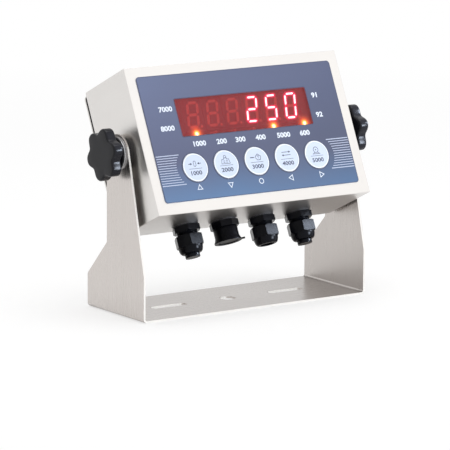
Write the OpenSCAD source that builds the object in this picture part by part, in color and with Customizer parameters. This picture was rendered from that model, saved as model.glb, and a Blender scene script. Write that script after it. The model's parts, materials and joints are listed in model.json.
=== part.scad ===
// Weighing indicator: a folded steel housing that tilts between the arms of a steel bracket.
// It has a six digit display, five keys, three cable glands and a capped connector.
// The origin is where the axis of the bracket's centre hole meets the underside of its base.
// X runs to the right as seen from the front, Y to the back and Z up.

/* [Housing] */
// Outside width
housing_w = 188; // [180:1:230]
// Outside height along the face
housing_h = 111; // [108:1:140]
// Outside depth from the face to the rear flange
housing_d = 58.5; // [56:0.5:90]
// Sheet thickness
housing_wall = 1.5; // [1:0.1:2]
// Outside bend radius at the rear flange
housing_bend = 3.5; // [2.5:0.1:5]
// Width of the rear flange
flange_w = 12; // [10:0.5:16]
// How far the face leans back, in degrees
tilt = 25; // [0:1:45]

/* [Label] */
// Bare border of the face beside the label
label_side = 8; // [5:0.5:12]
// Bare border of the face below the label
label_below = 8.5; // [5:0.5:12]
// Bare border of the face above the label
label_above = 7.5; // [5:0.5:12]
// Thickness of the label
label_t = 0.5; // [0.3:0.1:0.8]
// Corner radius of the label
label_r = 2.5; // [1:0.5:5]

/* [Window] */
// Width of the window
window_w = 116.2; // [108:0.1:130]
// Height of the window
window_h = 28.5; // [27:0.1:32]
// Middle of the window, as a share of the label's height
window_mid_share = 0.652; // [0.64:0.001:0.68]
// Corner radius of the window
window_r = 1; // [0.5:0.1:2]
// How far the lens reaches behind the label
lens_step = 1.8; // [1:0.1:3]

/* [Keys] */
// Diameter of a key
key_d = 21; // [16:0.5:24]
// Distance from key to key, as a share of the label's width
key_pitch_share = 0.157; // [0.15:0.001:0.18]
// Height of the key row above the label's lower edge, as a share of the label's height
key_row_share = 0.2537; // [0.2:0.0001:0.26]
// Travel of a key
key_travel = 0.4; // [0.2:0.05:0.4]
// Thickness of a key
key_t = 0.45; // [0.3:0.05:0.6]
// Width of a key's raised rim
key_rim_w = 1; // [0.6:0.1:2]
// Gap round a key
key_gap = 0.3; // [0.2:0.05:0.5]
// Diameter of a key's plunger
plunger_d = 3.5; // [2.5:0.1:4.5]

/* [Display] */
// Distance from digit to digit
digit_pitch = 17.36; // [16:0.01:19]
// Height of a digit
digit_h = 20.3; // [16:0.1:22]
// Width of a digit
digit_w = 10.6; // [8:0.1:12]
// Width of a segment
digit_stroke = 2.2; // [1.5:0.1:2.8]
// Slant of the digits, in degrees
digit_slant = 10; // [0:1:12]
// Height of the digits above the window's middle
digit_lift = 1.85; // [0:0.05:2.5]
// Height of a digit module
module_h = 25; // [23:0.5:26]
// Depth of a digit module
module_d = 8.65; // [7:0.05:12]
// Diameter of a status lamp
lamp_d = 3; // [2:0.1:3.2]
// Height of the lamps above the window's lower edge
lamp_rise = 1.6; // [1.5:0.1:2]

/* [Boards] */
// Thickness of the circuit boards
board_t = 1.6; // [1:0.1:2]
// Gap between a board's end and the outside of the housing
board_side = 11; // [10:0.5:16]
// Height of the display board above the outside of the bottom
board_below = 10; // [8:0.5:14]
// Gap between the boards and the outside of the top
board_above = 8; // [6:0.5:12]
// Height of the main board above the outside of the bottom
main_below = 14; // [12:0.5:16]
// Distance between the two boards
board_space = 18; // [14:0.5:22]
// Distance of the board screws from the ends of the boards
board_hole_side = 5; // [4:0.5:8]
// Distance of the board screws from the main board's upper and lower edges
board_hole_edge = 5; // [4:0.5:8]
// Thread diameter of the board screws
board_screw_d = 3; // [2.5:0.5:4]
// Width across the flats of the board spacers
spacer_af = 5.5; // [5:0.5:8]

/* [Rear cover] */
// Thickness of the rear cover
cover_t = 1.5; // [1:0.1:3]
// How far the rear cover stays inside the housing's outline
cover_inset = 1; // [0:0.1:2]
// Corner radius of the rear cover
cover_r = 4; // [2:0.5:6]
// Thickness of the gasket
gasket_t = 1; // [0.5:0.1:2]
// Distance of the cover screws from the housing's outline
cover_screw_edge = 7.7; // [7.6:0.1:7.9]
// Thread diameter of the cover screws
cover_screw_d = 4; // [3:0.5:5]
// Length of the cover screws under the head
cover_screw_l = 9; // [8:0.5:12]
// Diameter of the cover screw heads
cover_head_d = 8; // [6.5:0.1:9]
// Height of the cover screw heads
cover_head_h = 2.8; // [2:0.1:4]

/* [Pivots] */
// Depth of the pivots behind the face
pivot_depth = 26; // [22:0.5:32]
// Gap between the housing and the bracket's arms
arm_gap = 3.5; // [2:0.1:6]
// Diameter of the friction washers
friction_d = 22; // [18:0.5:26]
// Thread diameter of the knob studs
stud_d = 8; // [6:0.5:8.5]
// Diameter of the holes that the studs pass through
stud_hole_d = 9.2; // [9:0.1:11]
// Width across the flats of the pivot nuts
pivot_nut_af = 13; // [12:0.5:17]
// Thickness of the pivot nuts
pivot_nut_t = 6.5; // [4:0.5:6.5]
// Diameter of the steel washers under the knobs
washer_d = 24; // [20:0.5:28]
// Thickness of the steel washers under the knobs
washer_t = 1.5; // [1:0.1:2.5]

/* [Knobs] */
// Diameter over the lobes
knob_d = 39; // [32:0.5:50]
// Depth of the valleys between the lobes
knob_valley = 4; // [2:0.1:5]
// Thickness of the star
knob_t = 8; // [6:0.5:12]
// Rounding of the star's edges
knob_edge = 1.6; // [0.5:0.1:2.5]
// Height of the hub behind the star
hub_h = 5; // [3:0.5:10]
// Diameter of the hub at the washer
hub_base_d = 25; // [20:0.5:27]
// Diameter of the hub at the star
hub_d = 18; // [14:0.5:20]
// Depth of the stud in the knob
stud_grip = 9; // [6:0.5:10]

/* [Bracket] */
// Sheet thickness
bracket_t = 1.5; // [1:0.1:3]
// Inside bend radius
bracket_bend = 1.5; // [1:0.1:5]
// Depth of the base
base_d = 75; // [60:1:100]
// Height of the pivots above the base's underside
pivot_rise = 119; // [110:1:150]
// Distance of the pivots in front of the base's middle
pivot_ahead = 2.5; // [0:0.5:6]
// Radius of the arms' round heads
head_r = 14; // [12:0.5:18]
// Height of the arms' upright front edges
front_rise = 34; // [20:1:50]
// Height of the arms' upright rear edges
rear_rise = 25; // [15:1:40]
// Height where the arms' rear edges become upright again
neck_rise = 52; // [45:1:80]
// Rounding of the arms' corners
arm_corner = 3; // [1:0.5:6]
// Diameter of the centre hole
centre_hole_d = 12.2; // [8:0.1:16]
// Length of a mounting slot, end to end
slot_l = 31; // [20:0.5:40]
// Width of a mounting slot
slot_w = 7; // [5:0.1:9]
// Distance between the middles of the mounting slots
slot_pitch = 105; // [80:1:120]

/* [Glands] */
// Distance from one cable entry to the next, as a share of the housing's width
entry_pitch_share = 0.1782; // [0.16:0.0001:0.19]
// Shift of the row of cable entries to the right
gland_shift = 3; // [-3:0.5:4]
// Distance of the cable entries in front of the housing's back
entry_back = 19; // [18:0.5:20]
// Width across the flats of the gland's hexagons
gland_af = 19; // [18:0.5:22]
// Height of the gland body's hexagon
gland_hex_h = 4.7; // [3:0.1:7]
// Thickness of the sealing washers
seal_washer_t = 0.8; // [0.5:0.1:2]
// Length of thread between the hexagon and the nut
gland_neck = 2.5; // [1:0.1:4]
// Length of a gland nut
gland_nut_l = 13.5; // [12:0.5:18]
// Length of the gland nut's flats
gland_flat_l = 8.3; // [6:0.1:9]
// Diameter of the gland's threads
gland_thread_d = 15.2; // [14:0.1:16]
// Diameter of the holes in the housing's bottom
gland_hole_d = 15.5; // [15.3:0.1:17]
// Length of thread above the outside of the housing's bottom
gland_thread_l = 9; // [7:0.5:11]
// Thickest cable that the glands take
cable_d = 8; // [5:0.1:8.5]
// Diameter of the blanking plugs' heads
plug_head_d = 11; // [10.5:0.1:12]
// Height of the blanking plugs' heads
plug_head_l = 3; // [2:0.1:5]
// Thickness of the lock nuts
lock_nut_t = 4.5; // [3:0.1:6]
// How far the glands are turned on their axes, in degrees
gland_turn = 5; // [0:1:30]

/* [Connector] */
// Width across the flats of the connector's flange
connector_af = 20.5; // [18:0.5:24]
// Diameter of the connector's shell
shell_d = 15; // [13:0.1:15.2]
// Length of the connector's shell below its flange
shell_l = 8.6; // [6:0.1:12]
// Wall of the cap
cap_wall = 1.5; // [1:0.1:2]
// Diameter of the cap's lip
cap_lip_d = 20.6; // [19.5:0.1:24]
// Height of the cap's lip
cap_lip_h = 1; // [0.6:0.1:2]
// Thickness of the cap's end
cap_end = 2; // [1.5:0.1:4]
// Length of the cap's pull tab
cap_tab = 2.4; // [1:0.1:6]

/* [Hidden] */

// Facets of large, middling and small round shapes
fine_fn = 96;
round_fn = 48;
small_fn = 24;
// How far a cut runs past what it cuts
over = 0.5;
// Radial clearance of a piece that slides or turns in a bore
slip = 0.05;
// Radial clearance of a screw in its hole
loose = 0.2;

// Places in the housing are given as x, the depth behind the face, and the height above the bottom
label_w = housing_w - 2 * label_side;
label_top = housing_h - label_above;
label_h = label_top - label_below;
label_mid = label_below + label_h / 2;
window_mid = label_below + window_mid_share * label_h;
key_z = label_below + key_row_share * label_h;
key_pitch = key_pitch_share * label_w;
key_count = 5;
key_x = [for (i = [0 : key_count - 1]) (i - (key_count - 1) / 2) * key_pitch];
digit_count = 6;
digit_x = [for (i = [0 : digit_count - 1]) (i - (digit_count - 1) / 2) * digit_pitch];
digit_z = window_mid + digit_lift;

// The display stands just behind the lens, and the display board behind its modules
lens_gap = 0.2;
segment_t = 0.15;
segment_y = housing_wall + lens_gap;
module_y = segment_y + segment_t;
module_gap = 0.4;
board_y = module_y + module_d;
board_back = board_y + board_t;
main_y = board_back + board_space;
main_back = main_y + board_t;
board_w = housing_w - 2 * board_side;
board_top = housing_h - board_above;
board_hole_x = board_w / 2 - board_hole_side;
board_hole_z = [main_below + board_hole_edge, board_top - board_hole_edge];

// A key rests a little above the end of its travel, and its plunger ends in the switch
key_rest_gap = 0.1;
key_low = key_travel + key_rest_gap;
key_top = key_low + key_t;

// Small parts of the boards
stud_shoulder_d = 5;
stud_reach = 4;
board_screw_reach = 5;
board_head_d = 5.5;
board_head_h = 2.2;
switch_w = 6;
switch_h = 3.5;
switch_bore_l = 2;
plunger_entry = 0.5;
plunger_tip_y = board_y - switch_h + plunger_entry;
plunger_hole_d = 8;
lamp_flange_h = 1;
lamp_flange_extra = 0.4;
lamp_body_l = 4.3;
lamp_leg_d = 0.5;
lamp_leg_pitch = 1.27;
point_d = 2.2;
point_side = 1.6;
segment_gap = 0.35;
// Middle of each status lamp, as a share of half the window's width
lamp_x_share = [-0.759, -0.465, -0.172, 0.12, 0.415, 0.893];
lamp_z = window_mid - window_h / 2 + lamp_rise;
block_w = 25;
block_d = 12;
block_h = 10;
block_step = 4;
block_screw_d = 3.6;
block_pitch = 5;
block_pitches = 5;
// Middle of each terminal block, as a share of half the board's width
block_x_share = [-0.62, -0.02, 0.55];
link_w = 40;
link_h = 5;
link_base = 2.5;
link_socket = 8.5;
link_pin = 0.64;
link_pins = 14;
// Middle of the link between the boards, as shares of half the board's width and of its height
link_place_share = [0, 0.86];
// Main chip, shield and relay: width, height and depth, then the middle as shares of the main board
chip_size = [14, 14, 1.6];
chip_place_share = [-0.1, 0.52];
shield_size = [32, 24, 3.5];
shield_place_share = [-0.55, 0.55];
relay_size = [19, 15, 15];
relay_place_share = [0.62, 0.6];
cooler_size = [22, 14, 16];
cooler_place_share = [0.3, 0.62];
cooler_fins = 5;
cooler_base = 3;
cooler_fin_t = 1.4;
capacitor_d = 8;
capacitor_h = 12;
// Middles of the capacitors, as shares of half the main board's width and of its height
capacitor_place_share = [[0.08, 0.72], [0.08, 0.56], [0.46, 0.42]];

// Rear cover, its screws and their nuts
cover_back = housing_d + gasket_t + cover_t;
cover_x = housing_w / 2 - cover_screw_edge;
cover_z = [cover_screw_edge, housing_h / 2, housing_h - cover_screw_edge];
cover_nut_af = 7;
cover_nut_t = 3.2;
cover_slot_w = 1.2;
cover_slot_l = 4.6;
cover_slot_d = 1.4;

// Pivots, arms and knobs
pivot_y = -pivot_ahead;
arm_inner = housing_w / 2 + arm_gap;
arm_outer = arm_inner + bracket_t;
bracket_w = 2 * arm_outer;
washer_out = arm_outer + washer_t;
star_in = washer_out + hub_h;
knob_out = star_in + knob_t;
stud_end = 2;
stud_out = washer_out + stud_grip;
stud_in = housing_w / 2 - housing_wall - pivot_nut_t - stud_end;
knob_lobes = 6;
knob_facets = 72;
// Narrowing of a lobe's flanks, as a share of the valleys' depth
lobe_fill_share = 0.083;
edge_steps = 3;
hub_foot = 1.2;
head_steps = 24;

// Cable entries, from left to right: gland, connector, gland, gland
entry_count = 4;
entry_pitch = entry_pitch_share * housing_w;
entry_y = housing_d - entry_back;
entry_x = [for (i = [0 : entry_count - 1]) (i - (entry_count - 1) / 2) * entry_pitch + gland_shift];
gland_x = [entry_x[0], entry_x[2], entry_x[3]];
connector_x = entry_x[1];
thread_r = gland_thread_d / 2;
hex_top = -seal_washer_t;
hex_low = hex_top - gland_hex_h;
nut_top = hex_low - gland_neck;
nut_low = nut_top - gland_nut_l;
nut_lip = 1.3;
nut_cone = 1.9;
nut_cone_low = nut_low + nut_lip;
nut_cone_top = nut_cone_low + nut_cone;
nut_exit_r = 5.2;
seal_wall = 2.15;
seal_r = cable_d / 2 + seal_wall;
cone_r = seal_r + slip;
dome_top = nut_top - gland_flat_l;
dome_steps = 8;
dome_tip_wall = 1.4;
dome_inset = 0.4;
chamfer = 0.8;
// Rise of a chamfer, as a share of its width
chamfer_rise_share = 0.6;
claw_gap = 0.5;
claw_low = nut_cone_top - claw_gap;
claw_taper = 0.7;
claw_l = 4;
claw_count = 8;
claw_slot = 1.1;
seal_gap = 0.2;
seal_l = 10;
seal_low = nut_cone_low + seal_gap;
seal_top = seal_low + seal_l;
seat_gap = 0.5;
gland_bore_r = 5;
plug_l = 9;
lock_nut_flange = 1;

// Connector
flange_sides = 8;
shell_low = hex_low - shell_l;
shell_wall = 1.2;
shell_bore_r = shell_d / 2 - shell_wall;
insert_drop = 2.2;
insert_top = hex_top - insert_drop;
insert_l = 8;
pin_d = 1.2;
pin_l = 2;
pin_ring_r = 3.4;
pin_count = 4;
cap_gap = 0.3;
cap_top = hex_low - cap_gap;
cap_play = 0.2;
cap_low = shell_low - cap_play - cap_end;
cap_r = shell_d / 2 + slip + cap_wall;
cap_flare_h = 3;
cap_dish = 0.5;
tab_w = 4;
tab_root = 1.5;
tab_step = 0.1;
tab_turn = -35;

// Carries shapes from the housing's own places to where the tilted housing stands
module in_housing() {
    translate([0, pivot_y, pivot_rise])
        rotate([-tilt, 0, 0])
            translate([0, -pivot_depth, -housing_h / 2])
                children();
}

// Mirrors shapes that are drawn on the right to the left when side is -1
module on_side(side) {
    mirror([side < 0 ? 1 : 0, 0, 0]) children();
}

// A flat shape drawn in x and height, given a thickness from one depth to another
module slab(front, back) {
    translate([0, back, 0])
        rotate([90, 0, 0])
            linear_extrude(height = back - front) children();
}

// A round bar or hole along the depth
module along_y(r, front, back, facets = round_fn) {
    translate([0, back, 0])
        rotate([90, 0, 0])
            cylinder(r = r, h = back - front, $fn = facets);
}

// A round bar or hole along x
module along_x(r, from, to, facets = round_fn) {
    translate([from, 0, 0])
        rotate([0, 90, 0])
            cylinder(r = r, h = to - from, $fn = facets);
}

// Radius over the corners of a polygon with this width across its flats
function corner_r(af, sides = 6) = af / 2 / cos(180 / sides);

// A rectangle with round corners, about its middle
module round_rect(w, h, r) {
    square([w - 2 * r, h], center = true);
    square([w, h - 2 * r], center = true);
    for (x = [-1, 1], y = [-1, 1])
        translate([x * (w / 2 - r), y * (h / 2 - r)])
            circle(r = r, $fn = round_fn);
}

// A slot with round ends, about its middle, along x
module slot_2d(l, w) {
    square([l - w, w], center = true);
    for (x = [-1, 1])
        translate([x * (l - w) / 2, 0])
            circle(r = w / 2, $fn = round_fn);
}

// A rectangle from y = 0 whose two far corners are round
module far_round(w, d, r) {
    translate([-w / 2, 0]) square([w, d - r]);
    translate([r - w / 2, 0]) square([w - 2 * r, d]);
    for (x = [-1, 1])
        translate([x * (w / 2 - r), d - r])
            circle(r = r, $fn = round_fn);
}

// Points of an outline whose corners are rounded; a corner is a point and its radius
function unit(v) = v / norm(v);
function corner_arc(a, p, b, r) =
    let (
        u = unit(a - p),
        v = unit(b - p),
        half = acos(u * v) / 2,
        middle = p + unit(u + v) * r / sin(half),
        from = p + u * r / tan(half) - middle,
        to = p + v * r / tan(half) - middle,
        start = atan2(from[1], from[0]),
        sweep = (atan2(to[1], to[0]) - start + 900) % 360 - 180,
        steps = 6
    )
    [for (i = [0 : steps]) middle + r * [cos(start + sweep * i / steps), sin(start + sweep * i / steps)]];
function outline(corners) =
    let (n = len(corners))
    [for (i = [0 : n - 1])
        each corners[i][1] == 0
            ? [corners[i][0]]
            : corner_arc(corners[(i + n - 1) % n][0], corners[i][0], corners[(i + 1) % n][0], corners[i][1])];

// Side view of the bracket: upright edges, a slanted front that runs into the round head, a neck behind
module arm_outline() {
    half = base_d / 2;
    foot = [-half, front_rise];
    head = [pivot_y, pivot_rise];
    reach = norm(head - foot);
    lean = atan2(head[1] - foot[1], head[0] - foot[0]) + asin(head_r / reach);
    rear = pivot_y + head_r;
    polygon(outline(concat(
        [[[-half, 0], 0], [foot, arm_corner]],
        [for (s = [0 : head_steps])
            let (a = (lean + 90) * (1 - s / head_steps))
            [head + head_r * [cos(a), sin(a)], 0]],
        [[[rear, neck_rise], arm_corner], [[half, rear_rise], arm_corner], [[half, 0], 0]]
    )));
}

// Front view of the bracket: a U with round bends
module u_outline() {
    top = pivot_rise + head_r + over;
    outer_bend = bracket_bend + bracket_t;
    difference() {
        translate([0, top]) mirror([0, 1]) far_round(bracket_w, top, outer_bend);
        translate([0, top + over]) mirror([0, 1])
            far_round(bracket_w - 2 * bracket_t, top + over - bracket_t, bracket_bend);
    }
}

module bracket() {
    color("silver")
    difference() {
        intersection() {
            rotate([90, 0, 0])
                linear_extrude(height = base_d + 2 * over, center = true) u_outline();
            rotate([90, 0, 90])
                linear_extrude(height = bracket_w + 2 * over, center = true) arm_outline();
        }
        translate([0, 0, -over])
            cylinder(r = centre_hole_d / 2, h = bracket_t + 2 * over, $fn = fine_fn);
        for (x = [-1, 1])
            translate([x * slot_pitch / 2, 0, -over])
                linear_extrude(height = bracket_t + 2 * over) slot_2d(slot_l, slot_w);
        translate([0, pivot_y, pivot_rise])
            along_x(stud_hole_d / 2, -arm_outer - over, arm_outer + over);
    }
}

// A block the size of the housing, less an all-round inset, whose rear edges are round
module housing_block(inset) {
    intersection() {
        translate([0, inset, inset])
            linear_extrude(height = housing_h - 2 * inset)
                far_round(housing_w - 2 * inset, housing_d - 2 * inset, housing_bend - inset);
        translate([0, inset, housing_h / 2])
            rotate([0, -90, 0])
                linear_extrude(height = housing_w - 2 * inset, center = true)
                    far_round(housing_h - 2 * inset, housing_d - 2 * inset, housing_bend - inset);
    }
}

module housing() {
    color("gainsboro")
    in_housing()
    difference() {
        housing_block(0);
        housing_block(housing_wall);
        // rear opening inside the flange
        translate([0, 0, housing_h / 2])
            slab(housing_d - housing_wall - over, housing_d + over)
                square([housing_w - 2 * flange_w, housing_h - 2 * flange_w], center = true);
        // window
        translate([0, 0, window_mid])
            slab(-over, housing_wall + over)
                round_rect(window_w + 2 * lens_step, window_h + 2 * lens_step, window_r);
        for (x = key_x)
            translate([x, 0, key_z])
                along_y(plunger_hole_d / 2, -over, housing_wall + over);
        for (x = entry_x)
            translate([x, entry_y, -over])
                cylinder(r = gland_hole_d / 2, h = housing_wall + 2 * over, $fn = round_fn);
        translate([0, pivot_depth, housing_h / 2])
            along_x(stud_hole_d / 2, -housing_w / 2 - over, housing_w / 2 + over);
        at_cover_screws()
            along_y(cover_screw_d / 2 + loose, housing_d - housing_wall - over, housing_d + over, small_fn);
    }
}

// The cover screws stand at the corners and at the middle of each side
module at_cover_screws() {
    for (x = [-cover_x, 0, cover_x], z = cover_z)
        if (x != 0 || z != housing_h / 2)
            translate([x, 0, z]) children();
}

module cover_2d() {
    translate([0, housing_h / 2])
        round_rect(housing_w - 2 * cover_inset, housing_h - 2 * cover_inset, cover_r);
}

module rear_cover() {
    color("silver")
    in_housing()
    difference() {
        slab(housing_d + gasket_t, cover_back) cover_2d();
        at_cover_screws()
            along_y(cover_screw_d / 2 + loose, housing_d, cover_back + over, small_fn);
    }
}

module cover_gasket() {
    color("dimgray")
    in_housing()
    difference() {
        slab(housing_d, housing_d + gasket_t)
            difference() {
                cover_2d();
                translate([0, housing_h / 2])
                    square([housing_w - 2 * flange_w, housing_h - 2 * flange_w], center = true);
            }
        at_cover_screws()
            along_y(cover_screw_d / 2 + loose, housing_d - over, housing_d + gasket_t + over, small_fn);
    }
}

// Screw heads are slotted, with the slot upright
module cover_screws() {
    color("lightgray")
    in_housing()
    at_cover_screws()
    difference() {
        union() {
            along_y(cover_screw_d / 2, cover_back - cover_screw_l, cover_back, small_fn);
            along_y(cover_head_d / 2, cover_back, cover_back + cover_head_h, round_fn);
        }
        translate([0, cover_back + cover_head_h - cover_slot_d / 2 + over / 2, 0])
            cube([cover_slot_w, cover_slot_d + over, cover_head_d + over], center = true);
    }
}

module cover_nuts() {
    color("lightgray")
    in_housing()
    at_cover_screws()
    difference() {
        along_y(corner_r(cover_nut_af), housing_d - housing_wall - cover_nut_t, housing_d - housing_wall, 6);
        along_y(cover_screw_d / 2 + slip, housing_d - housing_wall - cover_nut_t - over,
            housing_d - housing_wall + over, small_fn);
    }
}

module pivot_nut(side) {
    color("lightgray")
    in_housing()
    translate([0, pivot_depth, housing_h / 2])
    on_side(side)
    difference() {
        along_x(corner_r(pivot_nut_af), housing_w / 2 - housing_wall - pivot_nut_t,
            housing_w / 2 - housing_wall, 6);
        along_x(stud_d / 2 + slip, housing_w / 2 - housing_wall - pivot_nut_t - over,
            housing_w / 2 - housing_wall + over);
    }
}

module friction_washer(side) {
    color("darkslategray")
    in_housing()
    translate([0, pivot_depth, housing_h / 2])
    on_side(side)
    difference() {
        along_x(friction_d / 2, housing_w / 2, arm_inner);
        along_x(stud_hole_d / 2, housing_w / 2 - over, arm_inner + over);
    }
}

module label_panel() {
    color("slategray")
    in_housing()
    difference() {
        translate([0, 0, label_mid])
            slab(-label_t, 0) round_rect(label_w, label_h, label_r);
        translate([0, 0, window_mid])
            slab(-label_t - over, over) round_rect(window_w, window_h, window_r);
        for (x = key_x)
            translate([x, 0, key_z])
                along_y(key_d / 2 + key_gap, -label_t - over, over, fine_fn);
    }
}

// The lens fills the window in the label and is wider in the window of the sheet
module window_lens() {
    color("firebrick")
    in_housing()
    translate([0, 0, window_mid])
    union() {
        slab(-label_t, 0) round_rect(window_w - 2 * slip, window_h - 2 * slip, window_r);
        slab(0, housing_wall)
            round_rect(window_w + 2 * lens_step - 2 * slip, window_h + 2 * lens_step - 2 * slip, window_r);
    }
}

// A key is a thin disc with a raised rim, and its plunger reaches into the switch
module key(i) {
    rim_in = key_d / 2 - key_rim_w;
    rim_step = key_t / 3;
    color("aliceblue")
    in_housing()
    translate([key_x[i], 0, key_z])
    rotate([90, 0, 0])
    union() {
        rotate_extrude($fn = fine_fn)
            polygon([
                [0, key_low],
                [key_d / 2, key_low],
                [key_d / 2, key_top - rim_step],
                [key_d / 2 - rim_step, key_top],
                [rim_in + rim_step, key_top],
                [rim_in, key_top - rim_step],
                [0, key_top - rim_step]
            ]);
        translate([0, 0, -plunger_tip_y])
            cylinder(r = plunger_d / 2, h = plunger_tip_y + key_low + key_t / 2, $fn = small_fn);
    }
}

module key_switches() {
    color("black")
    in_housing()
    for (x = key_x)
        translate([x, 0, key_z])
        difference() {
            slab(board_y - switch_h, board_y) square(switch_w, center = true);
            along_y(plunger_d / 2 + slip, board_y - switch_h - over,
                board_y - switch_h + switch_bore_l, small_fn);
        }
}

module at_board_screws() {
    for (x = [-1, 1], z = board_hole_z)
        translate([x * board_hole_x, 0, z]) children();
}

// A circuit board from one height to the top, with its four screw holes
module board(front, low) {
    difference() {
        translate([0, 0, (low + board_top) / 2])
            slab(front, front + board_t) square([board_w, board_top - low], center = true);
        at_board_screws()
            along_y(board_screw_d / 2 + loose, front - over, front + board_t + over, small_fn);
    }
}

module display_board() {
    color("darkgreen") in_housing() board(board_y, board_below);
}

module main_board() {
    color("darkgreen") in_housing() board(main_y, main_below);
}

module digit_modules() {
    color("dimgray")
    in_housing()
    for (x = digit_x)
        translate([x, 0, digit_z])
            slab(module_y, board_y) square([digit_pitch - module_gap, module_h], center = true);
}

// Leans a point of a digit over with the slant
function slanted(p) = [p[0] + p[1] * tan(digit_slant), p[1]];

// A bar with pointed ends between two points, each end drawn back by the gap
module segment_bar(a, b) {
    along = unit(b - a);
    across = [-along[1], along[0]] * digit_stroke / 2;
    from = a + along * segment_gap;
    to = b - along * segment_gap;
    point = along * digit_stroke / 2;
    polygon([
        slanted(from),
        slanted(from + point + across),
        slanted(to - point + across),
        slanted(to),
        slanted(to - point - across),
        slanted(from + point - across)
    ]);
}

// The seven bars of a digit and its point, about its middle
module digit_2d() {
    x = (digit_w - digit_stroke) / 2;
    z = (digit_h - digit_stroke) / 2;
    for (h = [-z, 0, z])
        segment_bar([-x, h], [x, h]);
    for (s = [-x, x]) {
        segment_bar([s, -z], [s, 0]);
        segment_bar([s, 0], [s, z]);
    }
    translate(slanted([digit_w / 2 + point_side, -z]))
        circle(r = point_d / 2, $fn = small_fn);
}

module digit_segments() {
    color("tomato")
    in_housing()
    for (x = digit_x)
        translate([x, 0, digit_z])
            slab(segment_y, module_y) digit_2d();
}

// A lamp has a domed tip, a flange and two legs down to the board
module status_lamps() {
    r = lamp_d / 2;
    tip = segment_y;
    flange = tip + r + lamp_body_l;
    color("red")
    in_housing()
    for (share = lamp_x_share)
        translate([share * window_w / 2, 0, lamp_z])
        union() {
            translate([0, tip + r, 0]) sphere(r = r, $fn = small_fn);
            along_y(r, tip + r, flange, small_fn);
            along_y(r + lamp_flange_extra, flange, flange + lamp_flange_h, small_fn);
            for (s = [-1, 1])
                translate([s * lamp_leg_pitch, 0, 0])
                    along_y(lamp_leg_d / 2, flange, board_y, small_fn);
        }
}

module face_studs() {
    color("silver")
    in_housing()
    at_board_screws()
    union() {
        along_y(stud_shoulder_d / 2, housing_wall, board_y, small_fn);
        along_y(board_screw_d / 2, board_y, board_back + stud_reach, small_fn);
    }
}

module board_spacers() {
    color("gold")
    in_housing()
    at_board_screws()
    difference() {
        along_y(corner_r(spacer_af), board_back, main_y, 6);
        along_y(board_screw_d / 2 + slip, board_back - over, main_y + over, small_fn);
    }
}

module board_screws() {
    color("silver")
    in_housing()
    at_board_screws()
    difference() {
        union() {
            along_y(board_screw_d / 2, main_y - board_screw_reach, main_back, small_fn);
            along_y(board_head_d / 2, main_back, main_back + board_head_h, small_fn);
        }
        along_y(board_screw_d / 2, main_back + board_head_h / 2, main_back + board_head_h + over, 6);
    }
}

// A terminal block is stepped, with a row of round screw wells in its lower step
module terminal_blocks() {
    color("green")
    in_housing()
    for (share = block_x_share)
        translate([share * board_w / 2, main_back, main_below])
        difference() {
            translate([-block_w / 2, 0, 0]) cube([block_w, block_d, block_h]);
            translate([-block_w / 2 - over, block_d - block_step, block_h - block_step])
                cube([block_w + 2 * over, block_step + over, block_step + over]);
            for (i = [0 : block_pitches - 1])
                translate([(i - (block_pitches - 1) / 2) * block_pitch, 0, (block_h - block_step) / 2])
                    along_y(block_screw_d / 2, block_d - block_step, block_d + over, small_fn);
        }
}

// A box on the back of the main board: width, height and depth, and its middle in shares of the board
module on_main_board(size, place) {
    translate([place[0] * board_w / 2, main_back, main_below + place[1] * (board_top - main_below)])
        translate([-size[0] / 2, 0, -size[1] / 2])
            cube([size[0], size[2], size[1]]);
}

module electronic_parts() {
    color("dimgray")
    in_housing() {
        on_main_board(chip_size, chip_place_share);
        on_main_board(shield_size, shield_place_share);
        on_main_board(relay_size, relay_place_share);
        difference() {
            on_main_board(cooler_size, cooler_place_share);
            // the spaces between the cooler's fins
            for (i = [1 : cooler_fins - 1])
                translate([cooler_place_share[0] * board_w / 2 + (i / cooler_fins - 1 / 2) * cooler_size[0],
                    main_back + cooler_base + cooler_size[2] / 2,
                    main_below + cooler_place_share[1] * (board_top - main_below)])
                    cube([
                        cooler_size[0] / cooler_fins - cooler_fin_t,
                        cooler_size[2],
                        cooler_size[1] + 2 * over
                    ], center = true);
        }
        for (place = capacitor_place_share)
            translate([place[0] * board_w / 2, 0, main_below + place[1] * (board_top - main_below)])
                along_y(capacitor_d / 2, main_back, main_back + capacitor_h, small_fn);
    }
}

// A pin header on the display board that plugs into a socket on the main board
module board_link() {
    color("black")
    in_housing()
    translate([
        link_place_share[0] * board_w / 2,
        0,
        board_below + link_place_share[1] * (board_top - board_below)
    ])
    union() {
        slab(board_back, board_back + link_base) square([link_w, link_h], center = true);
        slab(main_y - link_socket, main_y) square([link_w, link_h], center = true);
        for (i = [0 : link_pins - 1])
            translate([((i + 1 / 2) / link_pins - 1 / 2) * link_w, 0, 0])
                slab(board_back, main_y) square(link_pin, center = true);
    }
}

module at_gland(i) {
    translate([gland_x[i], entry_y, 0]) rotate([0, 0, gland_turn]) children();
}

// A hexagon or other polygon between two heights, with both rims of its corners chamfered
module chamfered_prism(af, low, top, sides) {
    r = corner_r(af, sides) + over;
    edge = af / 2 + chamfer / 2;
    rise = chamfer_rise_share * (r - edge);
    intersection() {
        translate([0, 0, low]) cylinder(r = corner_r(af, sides), h = top - low, $fn = sides);
        rotate_extrude($fn = round_fn)
            polygon([[0, low], [edge, low], [r, low + rise], [r, top - rise], [edge, top], [0, top]]);
    }
}

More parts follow.
